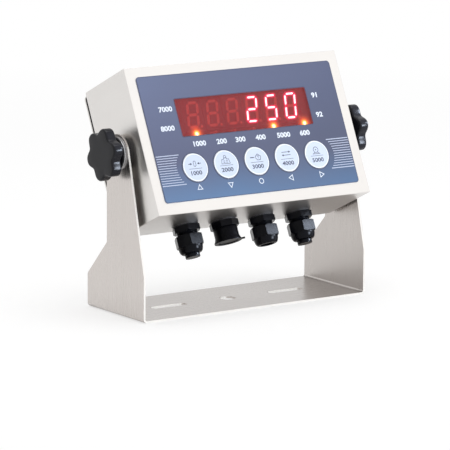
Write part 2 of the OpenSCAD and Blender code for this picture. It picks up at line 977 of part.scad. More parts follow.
// A gland body has a thread up into the housing, a hexagon, and a threaded barrel with claws below
module gland_body(i) {
    color("black")
    in_housing()
    at_gland(i)
    difference() {
        union() {
            translate([0, 0, hex_top]) cylinder(r = thread_r, h = gland_thread_l - hex_top, $fn = round_fn);
            chamfered_prism(gland_af, hex_low, hex_top, 6);
            rotate_extrude($fn = round_fn)
                polygon([
                    [0, claw_low],
                    [thread_r - claw_taper, claw_low],
                    [thread_r, claw_low + claw_l],
                    [thread_r, hex_low],
                    [0, hex_low]
                ]);
        }
        translate([0, 0, seal_top + seat_gap])
            cylinder(r = gland_bore_r, h = gland_thread_l - seal_top, $fn = round_fn);
        translate([0, 0, claw_low - over])
            cylinder(r = seal_r + slip, h = seal_top + seat_gap - claw_low + over, $fn = round_fn);
        for (a = [0 : claw_count / 2 - 1])
            rotate([0, 0, a * 360 / claw_count])
                translate([-thread_r - over, -claw_slot / 2, claw_low - over])
                    cube([2 * thread_r + 2 * over, claw_slot, claw_l + over]);
    }
}

// A gland nut is hexagonal above and domed below, hollow over the claws, with the cable's exit in its tip
module gland_nut(i) {
    tip_r = nut_exit_r + dome_tip_wall;
    dome_r = gland_af / 2 - dome_inset;
    dome_h = dome_top - nut_low;
    color("black")
    in_housing()
    at_gland(i)
    difference() {
        union() {
            chamfered_prism(gland_af, dome_top, nut_top, 6);
            rotate_extrude($fn = round_fn)
                polygon(concat(
                    [[0, nut_low]],
                    [for (s = [dome_steps : -1 : 0])
                        let (a = 90 * s / dome_steps)
                        [tip_r + (dome_r - tip_r) * cos(a), dome_top - dome_h * sin(a)]],
                    [[0, dome_top]]
                ));
        }
        rotate_extrude($fn = round_fn)
            polygon([
                [0, nut_low - over],
                [nut_exit_r, nut_low - over],
                [nut_exit_r, nut_cone_low],
                [cone_r, nut_cone_low],
                [thread_r + slip, nut_cone_top],
                [thread_r + slip, nut_top + over],
                [0, nut_top + over]
            ]);
    }
}

module gland_seal(i) {
    color("darkslategray")
    in_housing()
    at_gland(i)
    difference() {
        translate([0, 0, seal_low]) cylinder(r = seal_r, h = seal_l, $fn = round_fn);
        translate([0, 0, seal_low - over]) cylinder(r = cable_d / 2, h = seal_l + 2 * over, $fn = round_fn);
    }
}

// A blanking plug fills the seal's bore, and its head covers the nut's exit
module gland_plug(i) {
    color("black")
    in_housing()
    at_gland(i)
    union() {
        translate([0, 0, nut_low - plug_head_l])
            cylinder(r = plug_head_d / 2, h = plug_head_l, $fn = round_fn);
        translate([0, 0, nut_low]) cylinder(r = cable_d / 2, h = plug_l, $fn = round_fn);
    }
}

module lock_nuts() {
    color("black")
    in_housing()
    for (x = entry_x)
        translate([x, entry_y, 0])
        difference() {
            union() {
                translate([0, 0, housing_wall])
                    cylinder(r = corner_r(gland_af), h = lock_nut_t, $fn = 6);
                translate([0, 0, housing_wall])
                    cylinder(r = corner_r(gland_af), h = lock_nut_flange, $fn = round_fn);
            }
            cylinder(r = thread_r + slip, h = housing_wall + lock_nut_t + over, $fn = round_fn);
        }
}

module sealing_washers() {
    color("darkslategray")
    in_housing()
    for (x = entry_x)
        translate([x, entry_y, hex_top])
        difference() {
            cylinder(r = gland_af / 2, h = seal_washer_t, $fn = round_fn);
            translate([0, 0, -over])
                cylinder(r = gland_hole_d / 2, h = seal_washer_t + 2 * over, $fn = round_fn);
        }
}

// The connector's metal body has a thread, a faceted flange and a round shell below
module connector_body() {
    color("dimgray")
    in_housing()
    translate([connector_x, entry_y, 0])
    difference() {
        union() {
            translate([0, 0, hex_top]) cylinder(r = thread_r, h = gland_thread_l - hex_top, $fn = round_fn);
            chamfered_prism(connector_af, hex_low, hex_top, flange_sides);
            translate([0, 0, shell_low]) cylinder(r = shell_d / 2, h = shell_l, $fn = round_fn);
        }
        translate([0, 0, insert_top])
            cylinder(r = gland_bore_r, h = gland_thread_l - insert_top + over, $fn = round_fn);
        translate([0, 0, shell_low - over])
            cylinder(r = shell_bore_r, h = insert_top - shell_low + over, $fn = round_fn);
    }
}

// The connector's insulator carries a ring of pins
module connector_insert() {
    color("saddlebrown")
    in_housing()
    translate([connector_x, entry_y, 0])
    union() {
        translate([0, 0, insert_top - insert_l]) cylinder(r = shell_bore_r, h = insert_l, $fn = round_fn);
        for (a = [1 : pin_count])
            rotate([0, 0, a * 360 / pin_count])
                translate([pin_ring_r, 0, insert_top - insert_l - pin_l])
                    cylinder(r = pin_d / 2, h = insert_l + 2 * pin_l, $fn = small_fn);
    }
}

// The cap is a rubber cup over the shell that flares to a lip, with a dished end and a pull tab
module connector_cap() {
    lip_r = cap_lip_d / 2;
    color("black")
    in_housing()
    translate([connector_x, entry_y, 0])
    difference() {
        union() {
            rotate_extrude($fn = round_fn)
                polygon([
                    [0, cap_low],
                    [lip_r, cap_low],
                    [lip_r, cap_low + cap_lip_h],
                    [cap_r + (lip_r - cap_r) / 2, cap_low + cap_lip_h + cap_flare_h / 3],
                    [cap_r, cap_low + cap_lip_h + cap_flare_h],
                    [cap_r, cap_top],
                    [0, cap_top]
                ]);
            rotate([0, 0, tab_turn])
                translate([lip_r - tab_root, -tab_w / 2, cap_low + tab_step])
                    cube([tab_root + cap_tab, tab_w, cap_lip_h - 2 * tab_step]);
        }
        translate([0, 0, shell_low - cap_play])
            cylinder(r = shell_d / 2 + slip, h = cap_top - shell_low + cap_play + over, $fn = round_fn);
        translate([0, 0, cap_low - over])
            cylinder(r = shell_d / 2, h = over + cap_dish, $fn = round_fn);
    }
}

// Moves shapes drawn along x about the origin to a pivot's axis
module at_pivot(side) {
    translate([0, pivot_y, pivot_rise]) on_side(side) children();
}

// Radius of the star at an angle, drawn in by an inset
function star_r(a, inset) =
    knob_d / 2 - inset - knob_valley / 2 * (1 - cos(knob_lobes * a))
    - lobe_fill_share * knob_valley * pow(sin(knob_lobes * a), 2);

// Rings of the star from its back to its front: how far each lies along x and its inset
star_rings = concat(
    [for (s = [0 : edge_steps]) let (a = 90 * s / edge_steps)
        [star_in + knob_edge * (1 - cos(a)), knob_edge * (1 - sin(a))]],
    [for (s = [edge_steps : -1 : 0]) let (a = 90 * s / edge_steps)
        [knob_out - knob_edge * (1 - cos(a)), knob_edge * (1 - sin(a))]]
);

module star() {
    n = knob_facets;
    rings = len(star_rings);
    points = [for (ring = star_rings, i = [0 : n - 1])
        let (a = 360 * i / n)
        [ring[0], star_r(a, ring[1]) * sin(a), star_r(a, ring[1]) * cos(a)]];
    walls = [for (k = [0 : rings - 2], i = [0 : n - 1])
        each [[k * n + i, k * n + (i + 1) % n, (k + 1) * n + (i + 1) % n],
            [k * n + i, (k + 1) * n + (i + 1) % n, (k + 1) * n + i]]];
    back = [[for (i = [n - 1 : -1 : 0]) i]];
    front = [[for (i = [0 : n - 1]) (rings - 1) * n + i]];
    polyhedron(points = points, faces = concat(walls, back, front));
}

// A knob is a star with round edges on a hub that widens to a foot on the washer
module knob(side) {
    color("black")
    at_pivot(side)
    difference() {
        union() {
            star();
            rotate([0, 90, 0])
                rotate_extrude($fn = round_fn)
                    polygon([
                        [0, washer_out],
                        [hub_base_d / 2, washer_out],
                        [hub_base_d / 2, washer_out + hub_foot],
                        [hub_d / 2, star_in],
                        [hub_d / 2, star_in + knob_t / 2],
                        [0, star_in + knob_t / 2]
                    ]);
        }
        along_x(stud_d / 2, washer_out - over, stud_out);
    }
}

module knob_stud(side) {
    color("silver") at_pivot(side) along_x(stud_d / 2, stud_in, stud_out);
}

module knob_washer(side) {
    color("silver")
    at_pivot(side)
    difference() {
        along_x(washer_d / 2, arm_outer, washer_out);
        along_x(stud_d / 2 + loose, arm_outer - over, washer_out + over);
    }
}

bracket();
housing();
rear_cover();
cover_gasket();
cover_screws();
cover_nuts();
pivot_nut(-1);  // pivot_nut_left
pivot_nut(1);  // pivot_nut_right
friction_washer(-1);  // friction_washer_left
friction_washer(1);  // friction_washer_right
label_panel();
window_lens();
key(0);  // key_1
key(1);  // key_2
key(2);  // key_3
key(3);  // key_4
key(4);  // key_5
key_switches();
display_board();
digit_modules();
digit_segments();
status_lamps();
face_studs();
board_spacers();
board_screws();
main_board();
terminal_blocks();
electronic_parts();
board_link();
gland_body(0);  // gland_body_1
gland_body(1);  // gland_body_2
gland_body(2);  // gland_body_3
gland_nut(0);  // gland_nut_1
gland_nut(1);  // gland_nut_2
gland_nut(2);  // gland_nut_3
gland_seal(0);  // gland_seal_1
gland_seal(1);  // gland_seal_2
gland_seal(2);  // gland_seal_3
gland_plug(0);  // gland_plug_1
gland_plug(2);  // gland_plug_3
lock_nuts();
sealing_washers();
connector_body();
connector_insert();
connector_cap();
knob(-1);  // knob_left
knob(1);  // knob_right
knob_stud(-1);  // knob_stud_left
knob_stud(1);  // knob_stud_right
knob_washer(-1);  // knob_washer_left
knob_washer(1);  // knob_washer_right
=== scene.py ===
"""Looks of the weighing indicator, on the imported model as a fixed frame.

Lengths are in mm until piece() turns them into metres, except in materials, lights and the camera, which take
metres. A place in the housing is given as x, depth behind its face and height above its bottom.
"""
import json
import math

import bmesh
import bpy
from mathutils import Matrix, Vector

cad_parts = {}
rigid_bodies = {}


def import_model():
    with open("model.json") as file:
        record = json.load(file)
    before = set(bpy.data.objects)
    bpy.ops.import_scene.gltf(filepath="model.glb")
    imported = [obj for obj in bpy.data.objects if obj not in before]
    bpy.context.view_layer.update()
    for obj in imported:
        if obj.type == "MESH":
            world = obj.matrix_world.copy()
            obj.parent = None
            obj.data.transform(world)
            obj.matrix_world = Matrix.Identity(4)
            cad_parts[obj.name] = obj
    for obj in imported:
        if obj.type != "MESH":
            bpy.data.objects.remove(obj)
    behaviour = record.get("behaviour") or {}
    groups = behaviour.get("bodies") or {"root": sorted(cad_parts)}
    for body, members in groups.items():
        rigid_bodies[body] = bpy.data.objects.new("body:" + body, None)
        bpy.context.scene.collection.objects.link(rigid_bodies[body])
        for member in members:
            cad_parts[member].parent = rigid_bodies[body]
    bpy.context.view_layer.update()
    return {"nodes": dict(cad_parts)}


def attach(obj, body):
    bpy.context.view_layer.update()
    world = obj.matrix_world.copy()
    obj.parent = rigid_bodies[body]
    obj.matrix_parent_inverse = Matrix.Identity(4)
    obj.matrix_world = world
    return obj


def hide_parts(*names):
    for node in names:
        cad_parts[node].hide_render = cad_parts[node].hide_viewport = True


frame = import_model()
nodes = frame["nodes"]

MM = 0.001
TO_METRES = Matrix.Scale(MM, 4)

# The housing leans back by TILT about the pivot, which lies at half its height, PIVOT_DEPTH behind its face
TILT = math.radians(25)
PIVOT = Vector((0, -2.5, 119))
PIVOT_DEPTH, HALF_H = 26.0, 55.5
# From places in the housing to the frame
IN_HOUSING = (Matrix.Translation(PIVOT) @ Matrix.Rotation(-TILT, 4, "X")
              @ Matrix.Translation((0, -PIVOT_DEPTH, -HALF_H)))
# Texture coordinates with this turn run along the housing's edges
HOUSING_TURN = (TILT, 0, 0)

# Places on the housing's face: x, and heights named v
LABEL = dict(half_w=86.0, low=8.5, top=103.5, face=-0.5, r=2.5)
WINDOW = dict(half_w=58.1, low=56.2, top=84.7)
KEY_X, KEY_V = [-54.0, -27.0, 0.0, 27.0, 54.0], 32.6
DIGIT_X, DIGIT_V = [-43.4, -26.04, -8.68, 8.68, 26.04, 43.4], 72.3
LAMP_X, LAMP_V = [-44.1, -27.0, -10.0, 7.0, 24.1, 51.9], 57.8


# Materials ------------------------------------------------------------------

NOISE_LOW, NOISE_HIGH = 0.3, 0.7    # most of a noise lies in this range


class Nodes:
    """Short ways to add nodes and links to a shader tree."""

    def __init__(self, tree):
        self.t = tree

    def n(self, kind, **settings):
        """A new node of a kind, with its settings."""
        node = self.t.nodes.new("ShaderNode" + kind)
        for k, v in settings.items():
            setattr(node, k, v)
        return node

    def link(self, a, b):
        self.t.links.new(a, b)

    def feed(self, pairs):
        """Gives each socket its number or colour, or links it to an output."""
        for socket, v in pairs:
            if isinstance(v, (int, float)):
                socket.default_value = v
            elif isinstance(v, tuple):
                socket.default_value = (*v[:3], 1)
            else:
                self.link(v, socket)

    def coords(self, turn=(0, 0, 0), scale=(1, 1, 1)):
        """Object coordinates, turned and then scaled."""
        turned, scaled = self.n("Mapping"), self.n("Mapping")
        turned.inputs["Rotation"].default_value = turn
        scaled.inputs["Scale"].default_value = scale
        self.link(self.n("TexCoord").outputs["Object"], turned.inputs["Vector"])
        self.link(turned.outputs["Vector"], scaled.inputs["Vector"])
        return scaled.outputs["Vector"]

    def split(self, vector):
        """The x, y and z of a vector."""
        t = self.n("SeparateXYZ")
        self.link(vector, t.inputs[0])
        return t.outputs[:]

    def noise(self, vector, scale=1.0, detail=3.0, rough=0.6):
        t = self.n("TexNoise")
        self.feed(((t.inputs["Vector"], vector), (t.inputs["Scale"], scale), (t.inputs["Detail"], detail),
                   (t.inputs["Roughness"], rough)))
        return t.outputs["Fac"]

    def math(self, op, *values):
        t = self.n("Math", operation=op)
        self.feed(zip(t.inputs, values))
        return t.outputs[0]

    def remap(self, value, a, b, c, d):
        """A number mapped from the range a to b onto c to d, and kept in it."""
        t = self.n("MapRange")
        self.feed(zip(t.inputs, (value, a, b, c, d)))
        return t.outputs[0]

    def stretch(self, noise, low=0.0, high=1.0):
        """The usual range of a noise, mapped onto low to high."""
        return self.remap(noise, NOISE_LOW, NOISE_HIGH, low, high)

    def mix(self, fac, a, b, kind="MIX"):
        """A colour between two others."""
        t = self.n("Mix", data_type="RGBA", blend_type=kind)
        self.feed(((t.inputs[0], fac), (t.inputs[6], a), (t.inputs[7], b)))
        return t.outputs[2]

    def blend(self, fac, a, b):
        """A number between two others."""
        t = self.n("Mix", data_type="FLOAT")
        self.feed(((t.inputs[0], fac), (t.inputs[2], a), (t.inputs[3], b)))
        return t.outputs[0]

    def dimmed(self, fac, colour, level):
        """A colour, multiplied by a level where fac is 1."""
        return self.mix(fac, colour, self.mix(1.0, colour, (level,) * 3, "MULTIPLY"))

    def seen_ray(self):
        """1 for camera, glossy and transmission rays, and 0 for diffuse ones."""
        path = self.n("LightPath")
        seen = self.math("MAXIMUM", path.outputs["Is Camera Ray"], path.outputs["Is Glossy Ray"])
        return self.math("MAXIMUM", seen, path.outputs["Is Transmission Ray"])


class Mat(Nodes):
    """A material with one Principled surface, new or copied from another material."""

    def __init__(self, name, like=None):
        self.m = like.copy() if like else bpy.data.materials.new(name)
        self.m.name = name
        self.m.use_nodes = True
        super().__init__(self.m.node_tree)
        self.b = self.t.nodes["Principled BSDF"]

    def set(self, **values):
        """Feeds inputs of the surface; an underscore in a name stands for a space."""
        self.feed((self.b.inputs[k.replace("_", " ")], v) for k, v in values.items())

    def bump(self, height, strength, distance):
        t = self.n("Bump")
        self.feed(((t.inputs["Strength"], strength), (t.inputs["Distance"], distance),
                   (t.inputs["Height"], height)))
        self.set(Normal=t.outputs["Normal"])


def srgb(r, g, b):
    """Linear colour of an sRGB colour in 0 to 255."""
    return tuple(c / 12.92 if c <= 0.04045 else ((c + 0.055) / 1.055) ** 2.4
                 for c in (r / 255, g / 255, b / 255))


def tints(colour, spread):
    """The darkest and the lightest tint of a colour that varies by this share."""
    return tuple(c * (1 - spread) for c in colour), tuple(min(c * (1 + spread), 1) for c in colour)


# Painted shade: faces across x are dimmed to this level
SIDE_LEVEL = 0.9            # brightness of faces across x beside the others, where steel has a side
BROAD_SHARE = 0.22          # count of broad brush lines for each fine one
FEWEST_LINES = 5            # per metre
FINE_PART, BROAD_PART = 0.35, 0.65
RIGHT_FROM, RIGHT_TO = 0.02, 0.10   # x over which right_end comes in, in metres
CUT_ROUGHER = 0.4
BRUSH_DEPTH = 0.00003


def steel(name, colour, fine, rough=0.3, turn=(0, 0, 0), spread=0.05, grain=0.08, side=None,
          flat=1.0, right_end=1.0, cut=None):
    """Brushed steel. fine holds the count of brush lines per metre along each axis, and side that of the two
    faces across x, where it differs; those faces are also dimmed by painted shade. flat is how bright the
    level faces are beside the upright ones, and right_end how bright the right end is beside the left, both
    painted shade. cut is a near-white colour painted on the sheared edges as a highlight; their extra
    roughness is their own."""
    m = Mat(name)
    normal = m.split(m.n("TexCoord").outputs["Normal"])

    def facing(axis, low, high):
        """1 on faces across an axis and 0 on others, between two values of the normal."""
        return m.remap(m.math("ABSOLUTE", normal[axis]), low, high, 0.0, 1.0)

    def brushed(lines):
        """Fine brush lines, and the broad ones among them."""
        broad_lines = tuple(max(count * BROAD_SHARE, FEWEST_LINES) for count in lines)
        return (m.noise(m.coords(turn, lines), detail=5.0, rough=0.7),
                m.noise(m.coords(turn, broad_lines), detail=2.0))

    streak, broad = brushed(fine)
    if side:
        across = facing(0, 0.45, 0.55)
        streak, broad = (m.blend(across, a, b) for a, b in zip((streak, broad), brushed(side)))
    cloud = m.noise(m.coords(turn), scale=16.0, detail=2.0)
    level = m.math("ADD", m.math("MULTIPLY", streak, FINE_PART), m.math("MULTIPLY", broad, BROAD_PART))
    base = m.mix(m.stretch(level), *tints(colour, spread))
    base = m.mix(m.remap(cloud, 0.3, 0.75, 0.0, 0.5), base, tuple(c * 0.96 for c in colour))
    # Painted shade on the faces across x
    if side:
        base = m.dimmed(across, base, SIDE_LEVEL)
    # Painted shade on the level faces
    if flat < 1:
        base = m.dimmed(facing(2, 0.4, 0.8), base, flat)
    # Painted shade towards the right end
    if right_end < 1:
        base = m.dimmed(m.remap(m.split(m.coords())[0], RIGHT_FROM, RIGHT_TO, 0.0, 1.0), base, right_end)
    gloss = m.math("ADD", m.remap(streak, 0.25, 0.75, rough - 0.03, rough + 0.04),
                   m.stretch(cloud, -0.01, 0.02))
    # Painted highlight: the sheared edges get a near-white colour; their extra roughness is their own
    if cut:
        edge_faces = facing(1, 0.85, 0.95)
        base = m.mix(edge_faces, base, cut)
        gloss = m.math("ADD", gloss, m.math("MULTIPLY", edge_faces, CUT_ROUGHER))
    m.set(Metallic=1.0, Base_Color=base, Roughness=gloss)
    m.bump(streak, grain, BRUSH_DEPTH)
    return m.m


def plastic(name, colour, rough=0.45, grain=2200.0, depth=0.00003, spread=0.12, strength=0.35, spec=0.5,
            painted_glow=None):
    """Moulded plastic or rubber with a fine grain and slightly uneven gloss. The last argument is the colour
    and the strength of a faint painted glow, for parts that are lit by no lamp."""
    m = Mat(name)
    v = m.coords()
    fine = m.noise(v, grain)
    wide = m.noise(v, 55.0)
    gloss = m.math("ADD", m.stretch(fine, rough - 0.04, rough + 0.05), m.stretch(wide, -0.04, 0.04))
    m.set(Base_Color=m.mix(m.stretch(wide), *tints(colour, spread)), Roughness=gloss, Specular_IOR_Level=spec)
    m.bump(fine, strength, depth)
    # Painted glow, on parts that are lit by no lamp
    if painted_glow:
        m.set(Emission_Color=painted_glow[0], Emission_Strength=painted_glow[1])
    return m.m


def turned_z(height, depth=0.0):
    """The z of texture coordinates with HOUSING_TURN, in metres, of a place in the housing in mm."""
    return (Matrix.Rotation(TILT, 4, "X") @ (IN_HOUSING @ Vector((0, depth, height))) * MM).z


THREAD_RUN_OUT = 0.0002


def threaded(name, like, pitch, depth, top):
    """A copy of a plastic, with a thread on all that lies below top, a height in the housing in mm."""
    m = Mat(name, like)
    z = m.split(m.coords(HOUSING_TURN))[2]
    end = turned_z(top)
    wave = m.math("SINE", m.math("MULTIPLY", z, 2 * math.pi / pitch))
    m.bump(m.math("MULTIPLY", wave, m.remap(z, end - THREAD_RUN_OUT, end, 1.0, 0.0)), 1.0, depth)
    return m.m


def glow(name, colour, strength):
    """Light from a lit segment or lamp, a little uneven over its face."""
    m = Mat(name)
    wide = m.noise(m.coords(), 420.0, 2.0)
    m.set(Base_Color=colour, Roughness=0.5, Emission_Strength=strength,
          Emission_Color=m.mix(m.stretch(wide), tuple(c * 0.92 for c in colour), colour))
    return m.m


HAZE_POWER = 1.6


def halo(name, colour, strength):
    """Haze round a light, which fades out with the attribute named fade."""
    m = Mat(name)
    fade = m.n("Attribute", attribute_name="fade").outputs["Fac"]
    m.set(Base_Color=(0, 0, 0), Roughness=1.0, Specular_IOR_Level=0.0, Emission_Color=colour,
          Emission_Strength=strength, Alpha=m.math("POWER", fade, HAZE_POWER))
    return m.m


def label_material():
    """Printed film: slate, lighter at the upper left and bluer towards the lower edge, under a matt skin."""
    m = Mat("label_film")
    v = m.coords(HOUSING_TURN)
    x, _, z = m.split(v)
    side = m.remap(x, -LABEL["half_w"] * MM, LABEL["half_w"] * MM, 0.0, 1.0)
    up = m.remap(z, turned_z(LABEL["low"], LABEL["face"]), turned_z(LABEL["top"], LABEL["face"]), 0.0, 1.0)
    top = m.mix(side, srgb(100, 110, 142), srgb(78, 86, 116))
    middle = m.mix(side, srgb(84, 90, 120), srgb(68, 74, 100))
    foot = m.mix(side, srgb(88, 124, 166), srgb(66, 102, 142))
    base = m.mix(m.remap(up, 0.34, 0.9, 0.0, 1.0), middle, top)
    base = m.mix(m.remap(up, 0.02, 0.3, 0.0, 1.0), foot, base)
    cloud = m.noise(v, scale=14.0, detail=2.0)
    base = m.mix(m.stretch(cloud, 0.0, 0.35), base, srgb(92, 98, 124))
    fine = m.noise(m.coords(), 3000.0, 2.0)
    m.set(Base_Color=base, Roughness=m.stretch(fine, 0.32, 0.42))
    m.bump(fine, 0.25, 0.00002)
    return m.m


def lens_material():
    """Red filter: dark and hazy, so that only light comes through well."""
    m = Mat("red_filter")
    v = m.coords()
    wide = m.noise(v, 22.0, 2.0)
    fine = m.noise(v, 2600.0, 2.0)
    m.set(Base_Color=m.mix(m.stretch(wide), srgb(174, 60, 64), srgb(184, 68, 72)),
          Roughness=m.stretch(fine, 0.24, 0.34), Alpha=0.35)
    m.bump(fine, 0.1, 0.00001)
    return m.m


def board_material(name, resist):
    """Solder resist with tracks that show through as slightly lighter lines."""
    m = Mat(name)
    v = m.coords(HOUSING_TURN)
    tracks = m.n("TexBrick")
    m.feed(((tracks.inputs["Vector"], v), (tracks.inputs["Scale"], 90.0),
            (tracks.inputs["Mortar Size"], 0.03)))
    lighter = m.mix(0.5, resist, tuple(min(1, c * 1.7) for c in resist))
    fine = m.noise(v, 900.0, 2.0)
    m.set(Base_Color=m.mix(tracks.outputs["Fac"], resist, lighter), Roughness=m.stretch(fine, 0.3, 0.42))
    m.bump(fine, 0.2, 0.00003)
    return m.m


def ink(name, colour):
    """Screen printed ink with a faint grain."""
    m = Mat(name)
    fine = m.noise(m.coords(), 2400.0, 2.0)
    m.set(Base_Color=m.mix(m.stretch(fine), tuple(c * 0.94 for c in colour), colour),
          Roughness=m.stretch(fine, 0.46, 0.54))
    return m.m


M = {
    # The bracket's level faces and right end get painted shade and its sheared edges a painted highlight; the
    # housing's level and side faces get painted shade
    "bracket": steel("steel_bracket", srgb(207, 201, 197), fine=(26, 900, 26), rough=0.27, spread=0.02,
                     grain=0.02, flat=0.74, right_end=0.86, cut=srgb(253, 252, 250)),
    "housing": steel("steel_housing", srgb(236, 233, 230), fine=(30, 800, 800), rough=0.33, turn=HOUSING_TURN,
                     spread=0.014, grain=0.012, side=(800, 30, 800), flat=0.88),
    "cover": steel("steel_cover", srgb(224, 221, 217), fine=(30, 800, 800), rough=0.3, turn=HOUSING_TURN),
    "screw": steel("steel_screws", srgb(200, 198, 194), fine=(700, 700, 700), rough=0.24, spread=0.06),
    "stud": steel("steel_studs", srgb(190, 188, 184), fine=(60, 900, 900), rough=0.26),
    "washer": steel("steel_washers", srgb(196, 198, 202), fine=(500, 500, 500), rough=0.27, spread=0.03,
                    grain=0.02),
    "brass": steel("plated_brass", srgb(214, 184, 120), fine=(500, 500, 500), rough=0.3),
    "gasket": plastic("black_rubber", srgb(34, 34, 36), rough=0.62, grain=1500.0, depth=0.00004),
    "seal": plastic("soft_rubber", srgb(40, 40, 42), rough=0.6, grain=1600.0, depth=0.00004),
    "gland": plastic("nylon_black", srgb(10, 11, 16), rough=0.2, grain=1800.0, depth=0.00002, strength=0.12,
                     spec=0.1),
    "cap": plastic("cap_rubber", srgb(10, 10, 14), rough=0.32, grain=1700.0, depth=0.00002, strength=0.2,
                   spec=0.07),
    "knob": plastic("knob_black", srgb(26, 26, 31), rough=0.18, grain=2000.0, depth=0.00002, strength=0.1,
                    spec=0.2),
    "connector": plastic("satin_black_metal", srgb(11, 11, 15), rough=0.24, grain=1900.0, depth=0.00002,
                         strength=0.15, spec=0.1),
    "insert": plastic("insulator_brown", srgb(96, 66, 44), rough=0.5),
    "keys": plastic("key_film", srgb(207, 217, 237), rough=0.4, grain=2600.0, depth=0.00001, spread=0.02,
                    strength=0.15),
    # Painted highlight on the keys' rims
    "key_rim": plastic("key_rim_highlight", srgb(246, 249, 255), rough=0.35, grain=2600.0, depth=0.00001,
                       spread=0.01, strength=0.15),
    "switch": plastic("switch_black", srgb(30, 30, 32), rough=0.5),
    "module": plastic("module_face", srgb(92, 14, 18), rough=0.6, spec=0.2),
    # Unlit segments and lamps get a faint painted glow; they are lit by no lamp of their own
    "segment": plastic("segment_off", srgb(200, 60, 50), rough=0.45, spread=0.04,
                       painted_glow=((1.0, 0.10, 0.05), 0.14)),
    "lamp": plastic("lamp_off", srgb(200, 60, 48), rough=0.3, spread=0.04, painted_glow=((1.0, 0.10, 0.05), 0.06)),
    "block": plastic("terminal_green", srgb(60, 128, 78), rough=0.45),
    "parts": plastic("component_black", srgb(40, 40, 43), rough=0.5),
    "label": label_material(),
    "lens": lens_material(),
    "board": board_material("solder_resist", srgb(32, 92, 56)),
    "pale_ink": ink("pale_ink", srgb(232, 238, 248)),
    "line_ink": ink("line_ink", srgb(196, 205, 226)),
    "edge_ink": ink("edge_ink", srgb(66, 74, 102)),
    "key_ink": ink("key_ink", srgb(66, 72, 96)),
    "lit": glow("lit_segment", (1.0, 0.76, 0.82), strength=3.8),
    "lit_edge": glow("lit_segment_edge", (1.0, 0.02, 0.12), strength=2.3),
    "lit_lamp": glow("lit_lamp", (1.0, 0.80, 0.36), strength=6.0),
    "red_halo": halo("red_haze", (1.0, 0.01, 0.08), strength=1.5),
    "lamp_halo": halo("orange_haze", (1.0, 0.16, 0.02), strength=3.2),
    "lamp_glare": halo("yellow_haze", (1.0, 0.50, 0.08), strength=4.5),
}
# The glands' necks have a thread below their hexagons
M["gland_body"] = threaded("nylon_thread", M["gland"], pitch=0.0015, depth=0.00025, top=-5.6)


def dress(material, *names):
    """Gives CAD nodes a material."""
    for name in names:
        mesh = nodes[name].data
        mesh.materials.clear()
        mesh.materials.append(M[material])


dress("bracket", "bracket")
dress("housing", "housing")
dress("cover", "rear_cover")
dress("gasket", "cover_gasket", "friction_washer_left", "friction_washer_right")
dress("screw", "cover_screws", "cover_nuts", "pivot_nut_left", "pivot_nut_right", "board_screws",
      "face_studs")
dress("label", "label_panel")
dress("lens", "window_lens")
dress("keys", "key_1", "key_2", "key_3", "key_4", "key_5")
dress("switch", "key_switches")
dress("board", "display_board", "main_board")
dress("module", "digit_modules")
dress("segment", "digit_segments")
dress("lamp", "status_lamps")
dress("brass", "board_spacers")
dress("block", "terminal_blocks")
dress("parts", "electronic_parts", "board_link")
dress("gland_body", "gland_body_1", "gland_body_2", "gland_body_3")
dress("gland", "gland_nut_1", "gland_nut_2", "gland_nut_3",
      "gland_plug_1", "gland_plug_3", "lock_nuts")
dress("seal", "gland_seal_1", "gland_seal_2", "gland_seal_3", "sealing_washers")
dress("connector", "connector_body")
dress("insert", "connector_insert")
dress("cap", "connector_cap")
dress("knob", "knob_left", "knob_right")
dress("stud", "knob_stud_left", "knob_stud_right")
dress("washer", "knob_washer_left", "knob_washer_right")


WELD_DISTANCE = 0.000002
SHARP_ANGLE = math.radians(35)


def soften(names, width, segments=2):
    """Small edge rounding, in mm, on CAD nodes that stay in view."""
    for name in names:
        weld = nodes[name].modifiers.new("Weld", "WELD")
        weld.merge_threshold = WELD_DISTANCE
        bevel = nodes[name].modifiers.new("Bevel", "BEVEL")
        bevel.width = width * MM
        bevel.segments = segments
        bevel.limit_method = "ANGLE"
        bevel.angle_limit = SHARP_ANGLE
        bevel.use_clamp_overlap = True
        bevel.harden_normals = False


soften(["bracket"], 0.15)
soften(["housing"], 0.5, 3)
soften(["rear_cover"], 0.25)
soften(["gland_nut_1", "gland_nut_2", "gland_nut_3", "gland_body_1", "gland_body_2", "gland_body_3"], 0.3)
soften(["connector_cap", "connector_body", "gland_plug_1", "gland_plug_3"], 0.3)
soften(["cover_screws", "knob_washer_left", "knob_washer_right"], 0.25)


# Piece making ---------------------------------------------------------------

def piece(name, bm, material, body, place=IN_HOUSING, smooth=None):
    """Turns geometry in mm into an object in metres that rides on a body."""
    bmesh.ops.recalc_face_normals(bm, faces=bm.faces)
    bm.transform(TO_METRES @ place)
    mesh = bpy.data.meshes.new(name)
    bm.to_mesh(mesh)
    bm.free()
    o = bpy.data.objects.new(name, mesh)
    bpy.context.scene.collection.objects.link(o)
    mesh.materials.append(M[material])
    if smooth is not None:
        mesh.shade_smooth()
        mesh.set_sharp_from_angle(angle=math.radians(smooth))
    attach(o, body)
    return o


def prism(bm, points, front, back):
    """A flat shape given in x and height, between two depths."""
    a = [bm.verts.new((x, front, v)) for x, v in points]
    b = [bm.verts.new((x, back, v)) for x, v in points]
    n = len(points)
    bm.faces.new(a)
    bm.faces.new(b[::-1])
    for i in range(n):
        bm.faces.new((a[i], b[i], b[(i + 1) % n], a[(i + 1) % n]))


def band(bm, inner, outer, front, back, closed=True):
    """A band between two lines of points, between two depths."""
    n = len(inner)
    rows = [[bm.verts.new((x, d, v)) for x, v in line] for line, d in
            ((inner, front), (outer, front), (outer, back), (inner, back))]
    for i in range(n if closed else n - 1):
        j = (i + 1) % n
        for r in range(4):
            s = (r + 1) % 4
            bm.faces.new((rows[r][i], rows[s][i], rows[s][j], rows[r][j]))
    if not closed:
        bm.faces.new([rows[r][0] for r in range(4)])
        bm.faces.new([rows[r][-1] for r in range(3, -1, -1)])


MITRE_LIMIT = 0.35      # corners sharper than this are cut short


